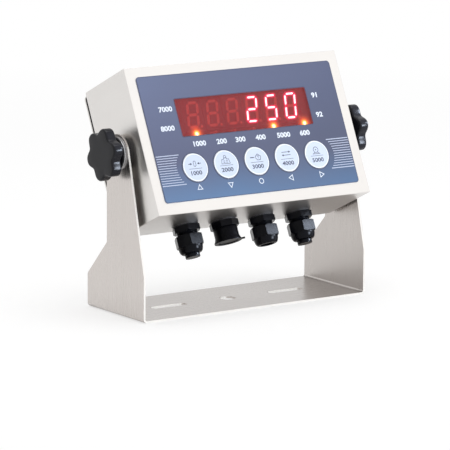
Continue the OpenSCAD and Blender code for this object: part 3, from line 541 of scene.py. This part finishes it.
def stroke(bm, points, width, front, back, closed=False):
    """A line of even width through points, between two depths."""
    pts = [Vector(p) for p in points]
    n = len(pts)
    left, right = [], []
    for i, p in enumerate(pts):
        before = pts[(i - 1) % n] if closed or i else None
        after = pts[(i + 1) % n] if closed or i < n - 1 else None
        d1 = (p - before).normalized() if before is not None else (after - p).normalized()
        d2 = (after - p).normalized() if after is not None else d1
        t = d1 + d2
        t = t.normalized() if t.length > 1e-6 else d1
        normal = Vector((-t.y, t.x))
        reach = width / 2 / max(MITRE_LIMIT, abs(normal.dot(Vector((-d1.y, d1.x)))))
        left.append(p + normal * reach)
        right.append(p - normal * reach)
    band(bm, [tuple(p) for p in left], [tuple(p) for p in right], front, back, closed)


def arc(cx, cy, r, a0, a1, steps):
    """Points on a circle from one angle to another, in degrees."""
    angles = [math.radians(a0 + (a1 - a0) * i / steps) for i in range(steps + 1)]
    return [(cx + r * math.cos(a), cy + r * math.sin(a)) for a in angles]


def circle(cx, cy, r, steps):
    """Points all round, each once."""
    return arc(cx, cy, r, 0, 360, steps)[:-1]


def rounded(cx, cy, w, h, r, steps=5):
    """The outline of a rectangle with round corners, about a middle point."""
    out = []
    for sx, sy, a in ((1, 1, 0), (-1, 1, 90), (-1, -1, 180), (1, -1, 270)):
        out += arc(cx + sx * (w / 2 - r), cy + sy * (h / 2 - r), r, a, a + 90, steps)
    return out


FIGURE_SHARE = 0.7      # height of a figure of the built-in font, as a share of its size


def letters(bm, text, cx, cy, height, front, bold, stretch):
    """Numbers as flat shapes, about a middle point."""
    curve = bpy.data.curves.new("figures", "FONT")
    curve.body = text
    curve.size = height / FIGURE_SHARE
    curve.offset = bold
    curve.resolution_u = 3
    o = bpy.data.objects.new("figures", curve)
    bpy.context.scene.collection.objects.link(o)
    bpy.context.view_layer.update()
    mesh = bpy.data.meshes.new_from_object(o.evaluated_get(bpy.context.evaluated_depsgraph_get()))
    xs = [v.co.x for v in mesh.vertices]
    ys = [v.co.y for v in mesh.vertices]
    mx, my = (min(xs) + max(xs)) / 2, (min(ys) + max(ys)) / 2
    made = [bm.verts.new((cx + (v.co.x - mx) * stretch, front, cy + v.co.y - my)) for v in mesh.vertices]
    for p in mesh.polygons:
        bm.faces.new([made[i] for i in p.vertices])
    bpy.data.objects.remove(o)
    bpy.data.curves.remove(curve)
    bpy.data.meshes.remove(mesh)


def tube(bm, rings):
    """Faces between neighbouring rings of vertices."""
    for a, b in zip(rings, rings[1:]):
        for i in range(len(a)):
            j = (i + 1) % len(a)
            bm.faces.new((a[i], a[j], b[j], b[i]))


def lathe(bm, profile, steps):
    """A closed solid turned about the x axis, from a profile of (radius, x)."""
    angles = [2 * math.pi * i / steps for i in range(steps)]
    rings = [[bm.verts.new((x, r * math.cos(a), r * math.sin(a))) for a in angles] for r, x in profile]
    tube(bm, rings)
    bm.faces.new(rings[0])
    bm.faces.new(rings[-1])


# Print on the label, and painted shade round the keys --------------------------

# Ink reaches a little into the film and stands in front of it, and figures more than borders
INK_FRONT, BORDER_FRONT, INK_BACK = -0.53, -0.52, -0.49
# Radii of the dark ring round each key, painted shade of the gap round it
KEY_BORDER_R = (10.85, 11.5)


def border(bm, box, *sides):
    """A printed line round a box. Each of its two sides is (distance outside the box, corner radius)."""
    mid, tall = (box["low"] + box["top"]) / 2, box["top"] - box["low"]
    inner, outer = (rounded(0, mid, 2 * (box["half_w"] + out), tall + 2 * out, r) for out, r in sides)
    band(bm, inner, outer, BORDER_FRONT, INK_BACK)


bm = bmesh.new()
border(bm, LABEL, (-0.45, LABEL["r"] - 0.45), (-0.05, LABEL["r"] - 0.05))
border(bm, WINDOW, (0.05, 1.0), (0.5, 1.4))
# Dark rings round the keys: painted shade of the gaps round them, in the same material as the printed borders
for x in KEY_X:
    band(bm, *(circle(x, KEY_V, r, 64) for r in KEY_BORDER_R), BORDER_FRONT, INK_BACK)
piece("label_borders", bm, "edge_ink", "housing")

# Fine lines at both sides, which end on an arc round the end keys; the inner ones waver, as if engraved
LINES, LINE_STEPS = 13, 12
LINES_LOW, LINES_TOP = 21.1, 43.2
LINES_ARC_R, LINES_END = 15.7, LABEL["half_w"] - 0.7
LINE_HALF, END_LINE_HALF, WAVER = 0.23, 0.3, 0.05
bm = bmesh.new()
for side in (-1, 1):
    for i in range(LINES):
        v = LINES_LOW + (LINES_TOP - LINES_LOW) * i / (LINES - 1)
        tip = KEY_X[-1] + math.sqrt(LINES_ARC_R ** 2 - (v - KEY_V) ** 2)
        end = i in (0, LINES - 1)
        half = END_LINE_HALF if end else LINE_HALF
        top, low = [], []
        for k in range(LINE_STEPS + 1):
            x = tip + (LINES_END - tip) * k / LINE_STEPS
            waver = 0.0 if end else WAVER * math.sin(k * 2.1 + i)
            top.append((side * x, v + half + waver))
            low.append((side * x, v - half + waver))
        band(bm, low, top, INK_FRONT, INK_BACK, closed=False)
piece("label_lines", bm, "line_ink", "housing")

# Plain numbers and signs stand where the photo has words
FIGURE_H, FIGURE_BOLD, FIGURE_STRETCH = 3.6, 0.2, 1.15
FIGURES = ((-45.1, 50.1, "1000"), (-25.9, 50.1, "200"), (-9.3, 50.1, "300"), (8.6, 50.1, "400"),
           (29.3, 50.1, "5000"), (48.4, 50.1, "600"),
           (-67.3, 77.8, "7000"), (-69.2, 63.4, "8000"), (65.1, 78.0, "91"), (65.5, 62.9, "92"))
SIGN_V, SIGN_R, SIGN_LINE = 17.4, 2.3, 0.55
RING_R = (SIGN_R - 0.75, SIGN_R - 0.15)
ARROW_R = SIGN_R * 1.02
POINTS_TO = {"up": 90, "down": 270, "left": 180, "right": 0}
bm = bmesh.new()
for x, v, text in FIGURES:
    letters(bm, text, x, v, FIGURE_H, INK_FRONT, FIGURE_BOLD, FIGURE_STRETCH)
for x, sign in zip(KEY_X, ("up", "down", "ring", "left", "right")):
    if sign == "ring":
        band(bm, *(circle(x, SIGN_V, r, 32) for r in RING_R), INK_FRONT, INK_BACK)
    else:
        turn = POINTS_TO[sign]
        stroke(bm, arc(x, SIGN_V, ARROW_R, turn, turn + 240, 2), SIGN_LINE, INK_FRONT, INK_BACK, closed=True)
piece("label_figures", bm, "pale_ink", "housing")


# Keys: rim with a painted highlight, pictogram, rule and number ----------------

# Depths of the rim's flat top and of the face inside it, each with those of the sheet on it: a painted
# highlight on the rim, and ink on the face
KEY_TOP, KEY_FLOOR = -0.95, -0.80
RIM_FRONT, RIM_BACK = KEY_TOP - 0.012, KEY_TOP + 0.03
PRINT_FRONT, PRINT_BACK = KEY_FLOOR - 0.015, KEY_FLOOR + 0.02
# Radii of the painted highlight on each key's rim
KEY_RIM_R = (9.62, 10.38)
# Heights of the print beside the key's middle
RULE_DV, NUMBER_DV, PICTOGRAM_DV = -0.9, -4.1, 2.8
RULE_HALF, RULE_LINE = 5.6, 0.3


def pictogram(bm, key, x, v):
    """The picture of one key, about a middle point."""

    def line(points, width, closed=False):
        stroke(bm, [(x + px, v + pv) for px, pv in points], width, PRINT_FRONT, PRINT_BACK, closed)

    def fill(points):
        prism(bm, [(x + px, v + pv) for px, pv in points], PRINT_FRONT, PRINT_BACK)

    if key == 1:    # an upright ring between two arrows
        line(rounded(0, 0, 1.9, 4.0, 0.9, 4), 0.4, closed=True)
        for s in (-1, 1):
            line([(s * 5.4, 0), (s * 3.6, 0)], 0.5)
            fill([(s * 2.2, 0), (s * 3.8, 0.95), (s * 3.8, -0.95)])
    elif key == 2:  # a weight with its ring
        line([(-3.7, -2.4), (3.7, -2.4), (3.0, 1.0), (1.2, 1.0), (1.2, 1.9), (-1.2, 1.9), (-1.2, 1.0),
              (-3.0, 1.0)], 0.38, closed=True)
        band(bm, circle(x, v + 2.9, 0.8, 24), circle(x, v + 2.9, 1.2, 24), PRINT_FRONT, PRINT_BACK)
        for s in (-1, 1):
            line([(s * 0.4, -1.4), (s * 2.0, -1.4)], 0.4)
            line([(s * 0.4, -0.3), (s * 2.0, -0.3)], 0.4)
    elif key == 3:  # a bar before a five-sided tag
        line([(-5.2, 0), (-1.8, 0)], 0.7)
        line([(-0.9, 0), (1.6, 2.4), (4.2, 0.6), (3.6, -2.0), (1.0, -2.2)], 0.4, closed=True)
        line([(1.0, 0.9), (2.8, 0.9)], 0.38)
        line([(1.9, 0.9), (1.9, -1.1)], 0.38)
    elif key == 4:  # two arrows
        for s in (-1, 1):
            rise = 0.4 + s * 1.15
            line([(-s * 3.8, rise), (s * 2.6, rise)], 0.45)
            fill([(s * 4.2, rise), (s * 2.4, rise + 0.85), (s * 2.4, rise - 0.85)])
    else:           # a dial on a stand
        line(circle(0, 0.9, 2.1, 32), 0.4, closed=True)
        fill(circle(0, 0.9, 0.5, 16))
        for s in (-1, 1):
            line([(s * 2.6, -2.0), (s * 1.2, -1.0)], 0.38)
        line([(-3.4, -2.2), (3.4, -2.2)], 0.38)


for key, x in enumerate(KEY_X, 1):
    bm = bmesh.new()
    # A near-white ring on the rim's flat top, a painted highlight
    band(bm, *(circle(x, KEY_V, r, 72) for r in KEY_RIM_R), RIM_FRONT, RIM_BACK)
    piece(f"key_ring_{key}", bm, "key_rim", f"key_{key}")
    bm = bmesh.new()
    stroke(bm, [(x + s * RULE_HALF, KEY_V + RULE_DV) for s in (-1, 1)], RULE_LINE, PRINT_FRONT, PRINT_BACK)
    letters(bm, f"{key}000", x, KEY_V + NUMBER_DV, 3.0, PRINT_FRONT, bold=0.1, stretch=1.2)
    pictogram(bm, key, x, KEY_V + PICTOGRAM_DV)
    piece(f"key_print_{key}", bm, "key_ink", f"key_{key}")


# Display --------------------------------------------------------------------

SLANT = math.tan(math.radians(10))
DIGIT_W, DIGIT_H, STROKE, GAP = 10.6, 20.3, 2.2, 0.35
SX, SV = (DIGIT_W - STROKE) / 2, (DIGIT_H - STROKE) / 2
BARS = {
    "a": ((-SX, SV), (SX, SV)), "g": ((-SX, 0), (SX, 0)), "d": ((-SX, -SV), (SX, -SV)),
    "f": ((-SX, 0), (-SX, SV)), "b": ((SX, 0), (SX, SV)),
    "e": ((-SX, -SV), (-SX, 0)), "c": ((SX, -SV), (SX, 0)),
}
# Lit segments of the last three digits
SHOWN = {3: "abged", 4: "afgcd", 5: "abcdef"}
# Depths behind the face: each light lies in front of its haze, and overlapping hazes lie a step apart
SEGMENT_FRONT, SEGMENT_EDGE_FRONT, SEGMENT_HAZE = 1.56, 1.60, 1.665
LAMP_FRONT, LAMP_GLARE, LAMP_HAZE = 1.53, 1.575, 1.60
LIGHT_SHEET, HAZE_STEP = 0.03, 0.004


def bar(a, b, width, gap, cx):
    """The six corners of a pointed bar of a digit, leaned over with the slant."""
    a, b = Vector(a), Vector(b)
    along = (b - a).normalized()
    across = Vector((-along.y, along.x)) * width / 2
    a, b = a + along * gap, b - along * gap
    tip = along * width / 2
    pts = [a, a + tip + across, b - tip + across, b, b - tip - across, a + tip - across]
    return [(cx + p.x + p.y * SLANT, DIGIT_V + p.y) for p in pts]


for name, width, gap, front, material in (
        ("lit_segments", STROKE * 0.62, GAP + 0.5, SEGMENT_FRONT, "lit"),
        ("lit_segment_edges", STROKE, GAP, SEGMENT_EDGE_FRONT, "lit_edge")):
    bm = bmesh.new()
    for i, shown in SHOWN.items():
        for s in shown:
            prism(bm, bar(*BARS[s], width, gap, DIGIT_X[i]), front, front + LIGHT_SHEET)
    piece(name, bm, material, "housing")


def faded(name, shapes, material):
    """Flat shapes that fade towards their outer outline. Each is a list of (points, depth, fade)."""
    bm = bmesh.new()
    layer = bm.verts.layers.float.new("fade")
    for rows in shapes:
        made = []
        for points, depth, fade in rows:
            made.append([bm.verts.new((x, depth, v)) for x, v in points])
            for vert in made[-1]:
                vert[layer] = fade
        bm.faces.new(made[0])
        tube(bm, made)
    piece(name, bm, material, "housing")


def grown(a, b, extra, cx, steps=5):
    """A bar with round ends, grown by extra all round."""
    a, b = Vector(a), Vector(b)
    angle = math.degrees(math.atan2((b - a).y, (b - a).x))
    r = STROKE / 2 + extra
    pts = arc(b.x, b.y, r, angle - 90, angle + 90, steps) + arc(a.x, a.y, r, angle + 90, angle + 270, steps)
    return [(cx + x + y * SLANT, DIGIT_V + y) for x, y in pts]


HAZE_SHORTER = 1.2
SEGMENT_FADE = ((-0.2, 1.0), (0.35, 0.75), (0.9, 0.3), (1.7, 0.0))     # (growth, fade)
shapes = []
for i, shown in SHOWN.items():
    for k, s in enumerate(shown):
        a, b = (Vector(p) for p in BARS[s])
        inwards = (b - a).normalized() * HAZE_SHORTER
        depth = SEGMENT_HAZE - HAZE_STEP * k
        shapes.append([(grown(a + inwards, b - inwards, extra, DIGIT_X[i]), depth, fade)
                       for extra, fade in SEGMENT_FADE])
faded("segment_haze", shapes, "red_halo")

LIT_LAMPS, LIT_LAMP_R = (0, 4, 5), 1.25
LAMP_HAZE_FADE = ((0.6, 1.0), (1.8, 0.9), (3.4, 0.55), (5.4, 0.2), (7.8, 0.0))     # (radius, fade)
LAMP_GLARE_FADE = ((0.6, 1.0), (1.5, 0.9), (2.3, 0.5), (3.2, 0.0))
HAZE_LOW = WINDOW["low"] - 1.4


def round_haze(x, v, depth, fades):
    """A round shape for faded(), cut off below HAZE_LOW."""
    return [([(px, max(pv, HAZE_LOW)) for px, pv in circle(x, v, r, 40)], depth, fade) for r, fade in fades]


bm = bmesh.new()
haze, glare = [], []
for n, i in enumerate(LIT_LAMPS):
    x = LAMP_X[i]
    prism(bm, circle(x, LAMP_V + 0.1, LIT_LAMP_R, 24), LAMP_FRONT, LAMP_FRONT + LIGHT_SHEET)
    haze.append(round_haze(x, LAMP_V + 0.2, LAMP_HAZE - HAZE_STEP * n, LAMP_HAZE_FADE))
    glare.append(round_haze(x, LAMP_V + 0.1, LAMP_GLARE - HAZE_STEP * n, LAMP_GLARE_FADE))
piece("lit_lamps", bm, "lit_lamp", "housing")
faded("lamp_haze", haze, "lamp_halo")
faded("lamp_glare", glare, "lamp_glare")


# Knobs ----------------------------------------------------------------------

# Distances out from the middle: the inner end of the collar, and the two faces of the star
WASHER_OUT, STAR_IN, KNOB_OUT = 100.5, 105.5, 113.5
KNOB_R, VALLEY, EDGE = 19.5, 4.0, 1.6
FACE_R = 9.6                # of a circle inside both faces
AROUND, EDGE_STEPS = 180, 7
STAR_TURN = math.radians(9)
# The collar behind the star, as (radius, distance out)
COLLAR = [(4.0, WASHER_OUT), (12.2, WASHER_OUT), (12.5, WASHER_OUT + 0.3), (12.5, WASHER_OUT + 1.0),
          (12.2, WASHER_OUT + 1.4), (10.6, WASHER_OUT + 2.5), (9.6, WASHER_OUT + 3.8), (9.1, STAR_IN - 0.3),
          (9.6, STAR_IN + 0.4), (4.0, STAR_IN + 0.4)]


def star_r(a, inset):
    """Radius of the six-lobed outline at an angle, drawn in by inset."""
    t = (1 - math.cos(6 * (a + STAR_TURN))) / 2
    return KNOB_R - inset - VALLEY * t ** 1.2


def star(bm):
    """The knob's six-lobed head, with rounded edges at both faces."""
    angles = [2 * math.pi * i / AROUND for i in range(AROUND)]
    quarter = [math.pi / 2 * k / EDGE_STEPS for k in range(EDGE_STEPS + 1)]
    rows = [(STAR_IN + EDGE * (1 - math.cos(a)), EDGE * (1 - math.sin(a))) for a in quarter]
    rows += [(KNOB_OUT - EDGE * (1 - math.cos(a)), EDGE * (1 - math.sin(a))) for a in reversed(quarter)]

    def ring(x, radii):
        return [bm.verts.new((x, r * math.sin(a), r * math.cos(a))) for a, r in zip(angles, radii)]

    rings = [ring(x, [star_r(a, inset) for a in angles]) for x, inset in rows]
    tube(bm, rings)
    for outline, x in ((rings[-1], KNOB_OUT), (rings[0], STAR_IN)):
        middle = ring(x, [FACE_R] * AROUND)
        tube(bm, [outline, middle])
        bm.faces.new(middle)


STUD_IN, STUD_OUT = 84.0, 109.4     # from the pivot nut to inside the knob
THREAD_IN, THREAD_LESS = 0.6, 1.5   # where the thread starts on the stud, and how much shorter it is
PITCH, THREAD_R, ROOT_R = 1.25, 4.0, 3.35
THREAD_STEPS = 24                   # in each turn
# One turn of the thread, as (distance along the stud, radius)
THREAD = ((0.0, ROOT_R), (0.35, THREAD_R), (0.55, THREAD_R), (0.9, ROOT_R))


def threaded_stud(bm):
    """A core with a real thread round it."""
    turns = int((STUD_OUT - STUD_IN - THREAD_LESS) / PITCH)
    rows = []
    for k in range(turns * THREAD_STEPS + 1):
        a = 2 * math.pi * k / THREAD_STEPS
        x = STUD_IN + THREAD_IN + PITCH * k / THREAD_STEPS
        rows.append([bm.verts.new((x + dx, r * math.cos(a), r * math.sin(a))) for dx, r in THREAD])
    for last, row in zip(rows, rows[1:]):
        for j in range(len(THREAD) - 1):
            bm.faces.new((last[j], last[j + 1], row[j + 1], row[j]))
    lathe(bm, [(2.9, STUD_IN), (ROOT_R, STUD_IN + 0.45), (ROOT_R, STUD_OUT)], 32)


for side, s in (("left", -1), ("right", 1)):
    at_pivot = Matrix.Translation(PIVOT) @ Matrix.Diagonal((s, 1, 1, 1))
    bm = bmesh.new()
    star(bm)
    lathe(bm, COLLAR, 72)
    knob = piece(f"star_knob_{side}", bm, "knob", f"knob_{side}", at_pivot, 38)
    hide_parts(f"knob_{side}")
    bm = bmesh.new()
    threaded_stud(bm)
    stud = piece(f"threaded_stud_{side}", bm, "stud", f"knob_{side}", at_pivot, 40)
    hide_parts(f"knob_stud_{side}")


# Stage ----------------------------------------------------------------------

WHITE = (1, 1, 1)

FLOOR_R, FLOOR_Z = 14.0, -0.00005
floor_mesh = bpy.data.meshes.new("floor")
bm = bmesh.new()
bmesh.ops.create_circle(bm, cap_ends=True, segments=96, radius=FLOOR_R)
bm.to_mesh(floor_mesh)
bm.free()
floor = bpy.data.objects.new("floor", floor_mesh)
bpy.context.scene.collection.objects.link(floor)
floor.location.z = FLOOR_Z

# Seen rays find a floor that fades to plain white away from the object, and diffuse ones a pale floor
fm = Mat("floor_pale")
seen = fm.seen_ray()
away = fm.n("VectorMath", operation="LENGTH")
fm.link(fm.n("TexCoord").outputs["Object"], away.inputs[0])
away = fm.remap(away.outputs["Value"], 0.35, 1.3, 0.0, 1.0)
near = fm.math("SUBTRACT", 1.0, away)
fm.set(Base_Color=fm.mix(seen, (0.72, 0.72, 0.72), fm.mix(near, (0.0, 0.0, 0.0), (0.58, 0.58, 0.58))),
       Emission_Color=WHITE, Emission_Strength=fm.math("MULTIPLY", seen, fm.remap(away, 0.0, 1.0, 0.52, 1.0)),
       Roughness=0.9, Specular_IOR_Level=0.0)
floor_mesh.materials.append(fm.m)

# A white world, dimmer as a light than as it is seen
WORLD_LIGHT, WORLD_SEEN = 0.6, 1.0
world = bpy.data.worlds.new("studio")
bpy.context.scene.world = world
world.use_nodes = True
wt = Nodes(world.node_tree)
light, backdrop = wt.t.nodes["Background"], wt.n("Background")
mixed = wt.n("MixShader")
wt.feed(((light.inputs["Color"], WHITE), (light.inputs["Strength"], WORLD_LIGHT),
         (backdrop.inputs["Color"], WHITE), (backdrop.inputs["Strength"], WORLD_SEEN),
         (mixed.inputs[0], wt.seen_ray()), (mixed.inputs[1], light.outputs[0]),
         (mixed.inputs[2], backdrop.outputs[0]),
         (wt.t.nodes["World Output"].inputs["Surface"], mixed.outputs[0])))


def lamp(name, place, size, radiance, aim=(0, 0, 0.1), colour=WHITE, only=None):
    """A soft flat light whose surface has the given brightness. size is its width and height. With only, it
    lights no other pieces than those whose names start with one of these."""
    data = bpy.data.lights.new(name, "AREA")
    data.shape = "RECTANGLE"
    data.size, data.size_y = size
    data.energy = radiance * math.pi * size[0] * size[1]
    data.color = colour
    o = bpy.data.objects.new(name, data)
    bpy.context.scene.collection.objects.link(o)
    o.location = place
    o.rotation_mode = "QUATERNION"
    o.rotation_quaternion = (Vector(aim) - Vector(place)).to_track_quat("-Z", "Y")
    o.visible_camera = False
    if only:
        receivers = bpy.data.collections.new(name + "_receivers")
        for other in bpy.context.scene.objects:
            if other.name.startswith(only):
                receivers.objects.link(other)
        o.light_linking.receiver_collection = receivers


# The bright strips give the black parts and the face's films their highlights, and leave out the steel, on
# which they would glare in other views
BLACK_PARTS = ("star_knob", "gland_", "connector_", "sealing_washers")
FACE_FILMS = ("label_", "key_", "window_lens")
lamp("front_right_softbox", (0.75, -0.90, 0.84), (0.9, 0.9), 0.2)
lamp("front_right_strip", (0.80, -1.22, 0.25), (0.42, 0.50), 30.0, colour=(0.76, 0.85, 1.0), only=BLACK_PARTS)
lamp("front_right_fill", (0.80, -1.22, 0.25), (0.42, 0.50), 20.0, colour=(0.86, 0.92, 1.0), only=FACE_FILMS)
lamp("right_strip", (1.21, -0.62, 0.68), (0.50, 0.45), 44.0, (0, 0, 0.06), (0.74, 0.83, 1.0), BLACK_PARTS)
lamp("top_softbox", (0.1, -0.1, 1.6), (1.1, 1.1), 2.0)


# Camera at the photo's place, found from the corners of the photo's object ---

PICTURE_PX, FOCAL_PX = 450, 3524.4
SENSOR = 36.0
AZIMUTH, ELEVATION, ROLL = math.radians(34.706), math.radians(10.382), math.radians(0.337)
TARGET = Vector((-2.603, 0, 56.734)) * MM
DISTANCE = 2.60367

lens = bpy.data.cameras.new("camera")
lens.sensor_fit = "HORIZONTAL"
lens.sensor_width = SENSOR
lens.lens = FOCAL_PX / PICTURE_PX * SENSOR
lens.clip_start = 0.1
lens.clip_end = 100
camera = bpy.data.objects.new("camera", lens)
bpy.context.scene.collection.objects.link(camera)
bpy.context.scene.camera = camera
ahead = Vector((math.sin(AZIMUTH) * math.cos(ELEVATION), math.cos(AZIMUTH) * math.cos(ELEVATION),
                -math.sin(ELEVATION)))
level = Vector((math.cos(AZIMUTH), -math.sin(AZIMUTH), 0))
upright = level.cross(ahead)
right = level * math.cos(ROLL) + upright * math.sin(ROLL)
up = upright * math.cos(ROLL) - level * math.sin(ROLL)
camera.location = TARGET - ahead * DISTANCE
camera.rotation_mode = "QUATERNION"
camera.rotation_quaternion = Matrix((right, up, -ahead)).transposed().to_quaternion()

bpy.context.scene.view_settings.view_transform = "Standard"
